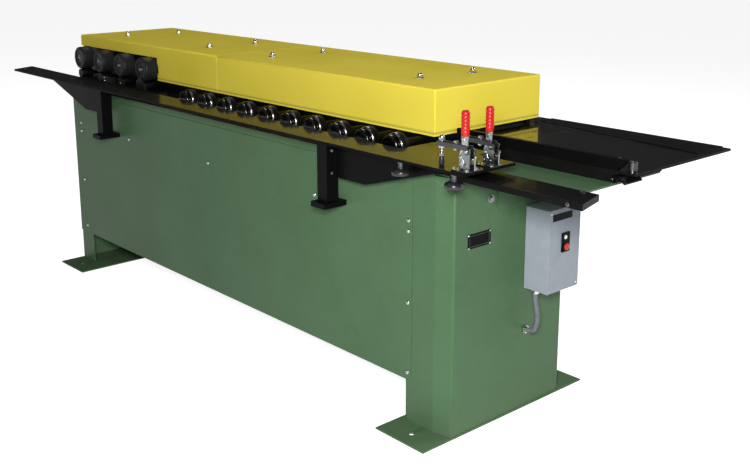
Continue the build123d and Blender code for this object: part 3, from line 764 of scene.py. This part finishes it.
# Knobs under the table: smooth domed caps on plain stems.
knobs = {
    "places": [(80, -78), (-143, -78)],
    "table": 904.5,
    "drop": 42.5,
    "rim": [(1.5, 0), (1.5, 16), (0.4, 20), (0.0, 24), (0.8, 26.8), (2.6, 28.6), (5.0, 29.4), (11.0, 29.4)],
    "dome": [(13.6, 28.6), (15.8, 26.8), (18.0, 23.6), (20.0, 19.0), (21.4, 14.0), (22.0, 10.0), (22.0, 0)],
    "stem": [(21.5, 0), (21.5, 10), (25, 10), (26, 8.4), (39.5, 8.4), (39.5, 11.5), (42.4, 11.5), (42.4, 0)],
}


def makeKnobs(setup):
    caps, stems = Shape(), Shape()
    for x, y in setup["places"]:
        where = (x, y, setup["table"] - setup["drop"])
        caps.lathe(where, (0, 0, 1), setup["rim"] + setup["dome"], 72)
        stems.lathe(where, (0, 0, 1), setup["stem"], 36)
    caps.piece("knobCaps", knobPlastic, instead=("adjusting_knobs",), smooth=30)
    stems.piece("knobStems", stemSteel)


makeKnobs(knobs)

# Black wheels at the exit end, and the plates that stand below them.
wheels = {
    "firstX": -2079,
    "pitch": -204,
    "count": 4,
    "near": 126.0,
    "axis": 979.0,
    "radius": 54.5,
    "width": 64.0,
    "shaft": 12.0,
    "shaftEnd": 100.0,
    "face": [(7, 0), (7, 8), (4.4, 11), (3.4, 17), (3.4, 28), (2.8, 33), (1.4, 36), (0.5, 40)],
    "hub": [(7.5, 8.6), (5.4, 10.2), (3.8, 11.2), (3.0, 13.6), (4.0, 15.6), (6.0, 14.6)],
    "guard": [
        (-2110, 862),
        (-2108, 925),
        (-2096, 938),
        (-2062, 938),
        (-2050, 925),
        (-2018, 886),
        (-2018, 862),
    ],
    "guardNear": 118.0,
    "screws": [(-2434, 128, 905), (-2434, 128, 892), (-2278, 128, 896)],
    "lugs": [(-2450, -2330), (-2300, -2235)],
    "lugNear": 132.0,
    "lugHeights": (872, 876, 914),
    "lugReach": 40.0,
    "lugSheet": 4.0,
}


def makeWheels(setup):
    r, w, thin, end = (setup[k] for k in ("radius", "width", "shaft", "shaftEnd"))
    tread = [(0.6, r - 7), (1.8, r - 3.4), (4.6, r - 1.0), (8.5, r), (w - 7, r), (w - 3, r - 0.8)]
    tread += [(w - 0.8, r - 3), (w, r - 6), (w, thin), (end, thin), (end, 0)]
    for i in range(setup["count"]):
        centre = (setup["firstX"] + setup["pitch"] * i, setup["near"], setup["axis"])
        node = f"flanging_wheel_{i + 1}"
        face, body, hub = Shape(), Shape(), Shape()
        face.lathe(centre, (0, 1, 0), setup["face"] + tread[:1], 72)
        face.piece(f"wheelFace{i + 1}", faceBlack, node, smooth=30)
        body.lathe(centre, (0, 1, 0), tread, 72)
        body.piece(f"wheelBody{i + 1}", wheelBlack, node, instead=(node,), smooth=30)
        hub.lathe(centre, (0, 1, 0), setup["hub"], 40)
        hub.hexagon(centre, (0, 1, 0), 13, 2.5, 8, 0.8)
        hub.piece(f"wheelHub{i + 1}", dullZinc, node)
    plates = Shape()
    plates.prism(setup["guard"], (0, setup["guardNear"], 0), (1, 0, 0), (0, 0, 1), -3.0)
    plates.piece("wheelGuard", stemSteel, bevel=0.4)
    lugs = Shape()
    near, (low, middle, high) = setup["lugNear"], setup["lugHeights"]
    for x0, x1 in setup["lugs"]:
        lugs.slab((x0, near - setup["lugSheet"], low), (x1, near, high))
        lugs.slab((x0, near - setup["lugReach"], low), (x1, near, middle))
    lugs.piece("wheelLugs", darkSteel, bevel=0.4)
    screws = Shape()
    for where in setup["screws"]:
        addButton(screws, where, "-y", 5.6, 4.0)
    screws.piece("wheelScrews", brightSteel)


makeWheels(wheels)

# Forming rolls: a dark stepped nose with a bright ring, then the body, the shaft and the roll inside.
rolls = {
    "firstX": -330,
    "pitch": -140,
    "count": 10,
    "axis": 904.0,
    "joinDistance": 0.00001,
    "face": [(48.6, 0), (48.6, 10), (47.0, 12), (47.0, 26), (45.6, 28), (45.4, 33.5)],
    "flange": [(45.4, 33.5), (46.2, 35.4), (49.6, 37.8), (56, 38), (57.6, 36), (58, 30), (66, 30)],
    "ring": [(66, 30), (66.4, 37.4), (67.6, 39.2), (72.6, 42.6), (76.0, 43.2)],
    "body": [(76.0, 43.2), (80, 43.9), (92, 44), (98, 42.6), (101, 39), (101, 16), (185, 16), (185, 13.5)],
    "inside": [(185, 13.5), (240.4, 13.5), (240.4, 26), (711, 26), (711, 13.5), (734, 13.5), (734, 0)],
}


def rollPiece(setup, name, centre, parts, finish, node, instead=()):
    shape = Shape()
    for part in parts:
        shape.lathe(centre, (0, 1, 0), setup[part], 64)
    if len(parts) > 1:
        bmesh.ops.remove_doubles(shape.mesh, verts=shape.mesh.verts, dist=setup["joinDistance"])
    shape.piece(name, finish, node, smooth=35, instead=instead)


def makeRolls(setup):
    for i in range(setup["count"]):
        centre = (setup["firstX"] + setup["pitch"] * i, 0, setup["axis"])
        node = f"lower_roll_{i + 1:02d}"
        rollPiece(setup, f"rollFace{i + 1}", centre, ("face", "flange"), rollSteel, node, (node,))
        rollPiece(setup, f"rollRing{i + 1}", centre, ("ring",), ringSteel, node)
        rollPiece(setup, f"rollShaft{i + 1}", centre, ("body", "inside"), bodySteel, node)


makeRolls(rolls)
print("rolls and wheels ready")

# Toggle clamps on the wide end of the table. u runs from a clamp's middle towards its spindle.
clamps = {
    "x": 98.0,
    "places": {"near": -52.0, "far": 52.0},
    "table": 914.0,
    "handlePin": (9.0, 40.0),
    "armPin": (-16.0, 60.0),
    "grip": {"u": 2.0, "low": 101.0, "high": 178.0, "radius": 13.0},
    "gripRibs": {"count": 6, "first": 7.0, "pitch": 10.6},
    "ribSwell": [(0.0, -0.9), (0.18, -0.55), (0.34, 0.05), (0.5, 0.25), (0.66, 0.05), (0.82, -0.55)],
    "leverRight": [(17, 31), (18, 48), (10, 66), (9, 82), (11, 94), (8.5, 104)],
    "leverLeft": [(-4.5, 104), (-5.5, 94), (-2.5, 82), (-1.5, 66), (0, 48), (1, 31)],
    "leverWeb": [(-6.0, 74), (-4.5, 103), (-1.8, 103), (-3.2, 74), (2.6, 50), (0.2, 49)],
    "leverPlates": (4.2, 6.8),
    "leverRivet": (3.0, 93.0),
    "cheekFace": 11.0,
    "cheekRib": [(0, 10), (5.5, 24), (1, 37), (-5.5, 24)],
    "cheekRivets": [(-13, 18), (13, 18)],
    "armFace": 16.0,
    "footBolts": {"us": (-24, 24), "out": 19.0, "top": 4.0},
    "stopRod": {"u": -28.5, "out": 9.5, "radius": 2.6, "length": 38.0, "nutLow": 35.0, "nutHigh": 43.0},
    "spindle": 94.0,
    "armBolt": 36.0,
    "thread": {"low": 15.0, "pitch": 1.25, "root": 4.15, "depth": 0.45, "count": 34},
    "rubber": [(0.3, 0), (0.3, 6.2), (1.2, 7.6), (3.5, 8.2), (20, 8), (25, 7.2), (27.5, 5.6), (28.5, 4)],
}


def clampPlace(setup, u, y, z):
    return (setup["x"] - u, y, setup["table"] + z)


def clampPlate(shape, setup, outline, low, high):
    # A stamped plate whose outline is given in u and height.
    origin = (setup["x"], high, setup["table"])
    shape.prism([(-u, z) for u, z in outline], origin, (1, 0, 0), (0, 0, 1), high - low)


cornerSteps = 5


def roundOutline(points, radius):
    # Rounds the corners of a closed outline.
    rounded = []
    count = len(points)
    for i in range(count):
        before, corner, after = (Vector((*points[(i + k) % count], 0)) for k in (-1, 0, 1))
        first, second = (before - corner), (after - corner)
        reach = min(radius, first.length * 0.45, second.length * 0.45)  # short sides keep a straight stretch
        start, end = corner + first.normalized() * reach, corner + second.normalized() * reach
        for j in range(cornerSteps + 1):
            t = j / cornerSteps
            spot = start * (1 - t) ** 2 + corner * 2 * t * (1 - t) + end * t**2
            rounded.append((spot.x, spot.y))
    return rounded


def makeGrip(setup, name, y, body):
    # Red grip with finger ribs.
    form, ribs = setup["grip"], setup["gripRibs"]
    radius, top = form["radius"], form["high"] - form["low"]
    profile = [(0, 0), (0, 9.0), (0.8, 11.0), (3.0, 12.4)]
    for i in range(ribs["count"]):
        for part, swell in setup["ribSwell"]:
            profile.append((ribs["first"] + ribs["pitch"] * (i + part), radius - 0.5 + swell))
    profile += [(top - 5.5, radius - 1.6), (top - 3.0, radius - 3.2), (top - 1.2, radius - 6.0)]
    profile += [(top - 0.2, 3.5), (top, 0)]
    grip = Shape()
    grip.lathe(clampPlace(setup, form["u"], y, form["low"]), (0, 0, 1), profile, 40)
    grip.piece(f"{name}Grip", redGrip, body, instead=(body,), smooth=60)


def makeLever(setup, name, y, body):
    # Stamped lever: two plates joined by a web, with a boss at the pin and a rivet under the grip.
    lever = Shape()
    outline = roundOutline(setup["leverRight"] + setup["leverLeft"], 6)
    inside, outside = setup["leverPlates"]
    for side in (-1, 1):
        low, high = sorted((y + side * inside, y + side * outside))
        clampPlate(lever, setup, outline, low, high)
    clampPlate(lever, setup, roundOutline(setup["leverWeb"], 1), y - 4.4, y + 4.4)
    pinU, pinZ = setup["handlePin"]
    profile = [(0, 4.1), (0, 7.6), (14, 7.6), (14, 4.1)]
    lever.lathe(clampPlace(setup, pinU, y - 7.0, pinZ), (0, 1, 0), profile, 28)
    rivetU, rivetZ = setup["leverRivet"]
    profile = [(0, 0), (0, 4.6), (1.4, 6.8), (15.8, 6.8), (17.2, 4.6), (17.2, 0)]
    lever.lathe(clampPlace(setup, rivetU, y - 8.6, rivetZ), (0, 1, 0), profile, 28)
    lever.piece(f"{name}Lever", zincSteel, body, bevel=0.35, smooth=30)


def makeClampFixings(setup, name, y):
    # Rivets, a pressed rib on each cheek, base screws and the stop rod stay with the base.
    up = (0, 0, 1)
    pinU, pinZ = setup["handlePin"]
    armU, armZ = setup["armPin"]
    face, bolts, rod = setup["cheekFace"], setup["footBolts"], setup["stopRod"]
    still = Shape()
    for side, axis in ((-1, "-y"), (1, "y")):
        addButton(still, clampPlace(setup, pinU, y + side * face, pinZ), axis, 5.6, 2.6)
        addButton(still, clampPlace(setup, armU, y + side * setup["armFace"], armZ), axis, 5.4, 2.4)
        for u, z in setup["cheekRivets"]:
            addButton(still, clampPlace(setup, u, y + side * face, z), axis, 3.6, 1.8)
        low, high = sorted((y + side * (face - 0.1), y + side * (face + 1.1)))
        clampPlate(still, setup, roundOutline(setup["cheekRib"], 2), low, high)
        for u in bolts["us"]:
            addBolt(still, clampPlace(setup, u, y + side * bolts["out"], bolts["top"]), "z", 10, 4.5, 6.5)
    foot = clampPlace(setup, rod["u"], y + rod["out"], bolts["top"])
    radius, length = rod["radius"], rod["length"]
    still.lathe(foot, up, [(-0.5, 0), (-0.5, radius), (length, radius), (length, 0)], 20)
    still.hexagon(foot, up, 9, rod["nutLow"], rod["nutHigh"], 0.7)
    still.piece(f"{name}ClampFixings", zincSteel, "base", smooth=30)


def makeArmNuts(setup, name, y, body):
    # Nuts, washers and the spindle's head on the arm.
    up, down = (0, 0, 1), (0, 0, -1)
    arm = Shape()
    at = clampPlace(setup, setup["spindle"], y, 0)
    arm.lathe(at, up, [(77, 0), (77, 10.5), (78.4, 10.5), (78.4, 0)], 28)
    arm.hexagon(at, up, 17, 78.2, 85.5, 1.0)
    arm.lathe(at, up, [(84.8, 7.8), (89, 7.2), (92, 5.2), (93.6, 2.6), (94, 0)], 28)
    arm.lathe(at, down, [(-62, 0), (-62, 10.5), (-60.6, 10.5), (-60.6, 0)], 28)
    arm.hexagon(at, down, 17, -60.8, -52.6, 1.0)
    arm.hexagon(at, down, 13, -35, -29.4, 0.8)
    bolt = clampPlace(setup, setup["armBolt"], y, 0)
    arm.lathe(bolt, up, [(53, 0), (53, 4.6), (54, 5.2), (81, 5.2), (82, 4.6), (82, 0)], 24)
    arm.hexagon(bolt, up, 14, 55, 61, 0.8)
    arm.hexagon(bolt, up, 14, 77.4, 83, 0.8)
    arm.piece(f"{name}ArmNuts", zincSteel, body, smooth=30)


def makeSpindle(setup, name, y, body):
    # Threads as close rings, and the rubber tip below them.
    form = setup["thread"]
    at = clampPlace(setup, setup["spindle"], y, 0)
    thread = Shape()
    crests = [(form["root"] + (form["depth"] if i % 2 else 0.0)) for i in range(form["count"])]
    rings = [(form["low"] + form["pitch"] * i, radius) for i, radius in enumerate(crests)]
    thread.lathe(at, (0, 0, 1), rings, 20)
    thread.piece(f"{name}Thread", zincSteel, body, smooth=20)
    tip = Shape()
    tip.lathe(at, (0, 0, 1), setup["rubber"] + [(28.5, 0)], 36)
    tip.piece(f"{name}RubberTip", blackPlastic, body, smooth=60)


def makeClamp(setup, name, y):
    handleBody, armBody = f"{name}_clamp_handle", f"{name}_clamp_arm"
    makeGrip(setup, name, y, handleBody)
    makeLever(setup, name, y, handleBody)
    makeClampFixings(setup, name, y)
    makeArmNuts(setup, name, y, armBody)
    makeSpindle(setup, name, y, armBody)


for clampName, clampY in clamps["places"].items():
    makeClamp(clamps, clampName, clampY)
print("clamps ready")

# Switch box: lid, screws, bare label and the start and stop buttons.
switchBox = {
    "face": 98.0,
    "near": 350.0,
    "far": 510.0,
    "low": 435.0,
    "high": 715.0,
    "rim": 0.9,  # how far the lid's rim stands out
    "rimSheet": 0.6,
    "lidDepth": 20.0,
    "label": (366, 467, 677, 701),
    "frame": (414, 454, 566, 632),
    "stopRise": 17.5,
    "startRise": 50.0,
    "stop": [(0, 0), (0, 11.4), (3.2, 11.4), (4.2, 10.6), (4.8, 9.0), (5.0, 0)],
    "start": [(0, 0), (0, 6.6), (1.2, 6.6), (1.6, 6.0), (0.9, 5.0), (0.9, 0)],
}


def makeSwitchBox(setup):
    face, near, far, low, high = (setup[k] for k in ("face", "near", "far", "low", "high"))
    out, sheet = setup["rim"], setup["rimSheet"]
    lid = Shape()
    # The lid's rolled rim, a little proud of the body on every side.
    for y0, y1, z0, z1 in (
        (near - out, near + sheet, low - sheet, high + sheet),
        (far - sheet, far + out, low - sheet, high + sheet),
        (near - out, far + out, low - out, low + sheet),
        (near - out, far + out, high - sheet, high + out),
    ):
        lid.slab((face - setup["lidDepth"], y0, z0), (face + 0.4, y1, z1))
    lid.piece("boxLid", boxPaint, bevel=0.5)
    screws = Shape()
    for y in (near + 9, far - 9):
        for z in (low + 10, high - 10):
            addButton(screws, (face, y, z), "x", 3.6, 1.8)
    screws.piece("boxScrews", zincSteel)
    label = Shape()
    y0, y1, z0, z1 = setup["label"]
    label.slab((face - 0.1, y0, z0), (face + 0.5, y1, z1))
    label.piece("boxLabel", blackLabel, bevel=0.2)

    y0, y1, z0, z1 = setup["frame"]
    midY = (y0 + y1) / 2
    frameShape = Shape()
    outline = roundOutline([(y0, z0), (y1, z0), (y1, z1), (y0, z1)], 3)
    frameShape.prism(outline, (face - 0.2, 0, 0), (0, 1, 0), (0, 0, 1), 4.4)
    outline = roundOutline([(y0 + 5, z0 + 4), (y1 - 5, z0 + 4), (y1 - 5, z0 + 31), (y0 + 5, z0 + 31)], 3)
    frameShape.prism(outline, (face + 4, 0, 0), (0, 1, 0), (0, 0, 1), 2.5)
    switchFrame = frameShape.piece("switchFrame", blackLabel, bevel=0.6, instead=("switch_buttons",))
    stop = Shape()
    stop.lathe((face + 6, midY, z0 + setup["stopRise"]), (1, 0, 0), setup["stop"], 40)
    stop.piece("stopButton", redButton)
    start = Shape()
    start.lathe((face + 4, midY - 3, z0 + setup["startRise"]), (1, 0, 0), setup["start"], 32)
    start.piece("startButton", whiteLabel)


makeSwitchBox(switchBox)

# Bare plate on the end face, with a raised rim and rivets.
endPlate = {
    "near": 73.0,
    "far": 179.0,
    "low": 624.0,
    "high": 672.0,
    "face": 1.5,
    "rivetInset": 3.5,
    "rimInset": (8.0, 6.0),
    "rimWidth": 0.8,
}


def makeEndPlate(setup):
    near, far, low, high, face = (setup[k] for k in ("near", "far", "low", "high", "face"))
    inset, width = setup["rivetInset"], setup["rimWidth"]
    rivets = Shape()
    for y in (near + inset, far - inset):
        for z in (low + inset, high - inset):
            addButton(rivets, (face, y, z), "x", 3.4, 1.8)
    rivets.piece("plateRivets", brightSteel)
    rim = Shape()
    insetY, insetZ = setup["rimInset"]
    y0, y1, z0, z1 = near + insetY, far - insetY, low + insetZ, high - insetZ
    level = [(y0, y1, z0, z0 + width), (y0, y1, z1 - width, z1)]
    upright = [(y0, y0 + width, z0, z1), (y1 - width, y1, z0, z1)]
    for a, b, c, d in level + upright:
        rim.slab((face - 0.1, a, c), (face + 0.25, b, d))
    rim.piece("plateRim", greyPlastic)


makeEndPlate(endPlate)

# Steel roller that guides the sheet at the corner of the far table.
guideRoller = {"place": (401, 334), "low": 904.5, "top": 934.0, "radius": 14.0}


def makeGuideRoller(setup):
    shape = Shape()
    rise, r = setup["top"] - setup["low"], setup["radius"]
    profile = [(0, 0), (0, r - 2), (2, r - 2), (2.6, r), (rise - 3, r), (rise - 1.6, r - 1.2)]
    profile += [(rise - 1.2, r - 4), (rise - 2.2, r - 5), (rise - 2.2, 5), (rise, 4.4), (rise, 0)]
    shape.lathe((*setup["place"], setup["low"]), (0, 0, 1), profile, 48)
    shape.piece("guideRollerBody", stemSteel, instead=("guide_roller",), smooth=30)


makeGuideRoller(guideRoller)

# Slots, drawn as thin near-black patches of painted shade on the deck, and a few small parts of the tables.
deck = {
    "top": 904.5,
    "slots": [((-113, 478), (-114, 516), 5), ((-165, 577), (-167, 601), 4), ((-105, 577), (-102, 685), 3.5)],
    "tipPin": (-2936, -55, 914),
    "slotEndSteps": 8,
}


def makeDeckDetails(setup):
    slots, steps = Shape(), setup["slotEndSteps"]
    for (xa, ya), (xb, yb), width in setup["slots"]:
        run = Vector((xb - xa, yb - ya, 0)).normalized() * width / 2
        side = Vector((-run.y, run.x, 0))
        outline = []
        for middle, turn in (((xa, ya), math.pi), ((xb, yb), 0)):
            for i in range(steps + 1):
                angle = turn - math.pi / 2 + math.pi * i / steps
                spot = Vector((*middle, 0)) + run * math.cos(angle) + side * math.sin(angle)
                outline.append((spot.x, spot.y))
        # Each slot is a thin dark sheet on the deck, painted shade where the opening would be.
        slots.prism(outline, (0, 0, setup["top"] - 0.2), (1, 0, 0), (0, 1, 0), 0.4)
    slots.piece("deckSlotShade", paintedSlotShade)
    pin = Shape()
    pin.lathe(setup["tipPin"], (0, 0, 1), [(-1, 0), (-1, 5), (9, 5), (10.5, 4), (11, 0)], 24)
    pin.piece("tipPin", blackSatin)


makeDeckDetails(deck)
print("small parts ready")

# Floor, lamps and the white surroundings.
studio = {
    "floor": (0.62, 0.62, 0.62, 1.0),
    "floorRoughness": 0.9,
    "floorReach": 30.0,
    "floorLift": 0.86,
    "skyLight": 0.10,
    "ceiling": 0.03,  # what shiny pieces mirror from above
    "horizon": (0.01, 0.07),
    "flash": {"place": (2000, -2300, 1950), "aim": (-1000, 200, 700), "size": 0.7, "power": 206.0},
    "top": {"place": (-1200, -600, 3600), "aim": (-1200, 200, 900), "size": 3.0, "power": 10.0},
    "rear": {"place": (1500, 4200, 2700), "aim": (-900, 500, 600), "size": 2.2, "power": 100.0},
    "exit": {"place": (-4200, 3200, 5200), "aim": (-2300, 400, 600), "size": 1.6, "power": 80.0},
}


def rayKinds(tree):
    # 1 for rays from the camera, from glossy faces and through clear ones, else 0.
    kinds = tree.nodes.new("ShaderNodeLightPath").outputs
    return [Wire(tree, kinds[f"Is {name} Ray"]) for name in ("Camera", "Glossy", "Transmission")]


def makeFloor(setup):
    mesh, reach = bmesh.new(), setup["floorReach"]
    signs = ((-1, -1), (1, -1), (1, 1), (-1, 1))
    mesh.faces.new([mesh.verts.new((x * reach, y * reach, 0.0)) for x, y in signs])
    data = bpy.data.meshes.new("studioFloor")
    mesh.to_mesh(data)
    mesh.free()
    floor = bpy.data.objects.new("studioFloor", data)
    bpy.context.scene.collection.objects.link(floor)
    finish = Finish("studioFloor", setup["floor"], roughness=setup["floorRoughness"])
    camera, glossy, through = rayKinds(finish.tree)
    strength = (camera + glossy + through).clipped() * setup["floorLift"]
    lift = finish.node("ShaderNodeEmission", values={"Strength": strength})
    plain = Wire(finish.tree, finish.shader.outputs[0])
    both = finish.node("ShaderNodeAddShader", values={0: plain, 1: lift})
    finish.tree.links.new(both.socket, finish.tree.nodes["Material Output"].inputs["Surface"])
    data.materials.append(finish.material)


def makeSurroundings(setup):
    world = bpy.data.worlds.new("studioWhite")
    bpy.context.scene.world = world
    world.use_nodes = True
    tree = world.node_tree
    background = tree.nodes["Background"]
    direction = tree.nodes.new("ShaderNodeTexCoord")
    split = tree.nodes.new("ShaderNodeSeparateXYZ")
    tree.links.new(direction.outputs["Generated"], split.inputs["Vector"])
    height = Wire(tree, split.outputs["Z"])
    white = 1 - height.between(*setup["horizon"])
    mirrored = white * (1 - setup["ceiling"]) + setup["ceiling"]
    camera, glossy, through = rayKinds(tree)
    seen = (camera + glossy + through).clipped()
    strength = (camera + through).clipped() + glossy * mirrored + (1 - seen) * setup["skyLight"]
    background.inputs["Color"].default_value = (1, 1, 1, 1)
    tree.links.new(strength.socket, background.inputs["Strength"])


def makeLamp(name, setup):
    data = bpy.data.lights.new(name, "AREA")
    data.shape = "DISK"
    data.size = setup["size"]
    data.energy = setup["power"]
    lamp = bpy.data.objects.new(name, data)
    bpy.context.scene.collection.objects.link(lamp)
    lamp.location = place(*setup["place"])
    aim = place(*setup["aim"]) - lamp.location
    lamp.rotation_euler = aim.to_track_quat("-Z", "Y").to_euler()


makeFloor(studio)
makeSurroundings(studio)
for lampName in ("flash", "top", "rear", "exit"):
    makeLamp(lampName + "Lamp", studio[lampName])
bpy.context.scene.view_settings.view_transform = "Standard"
print("studio ready")
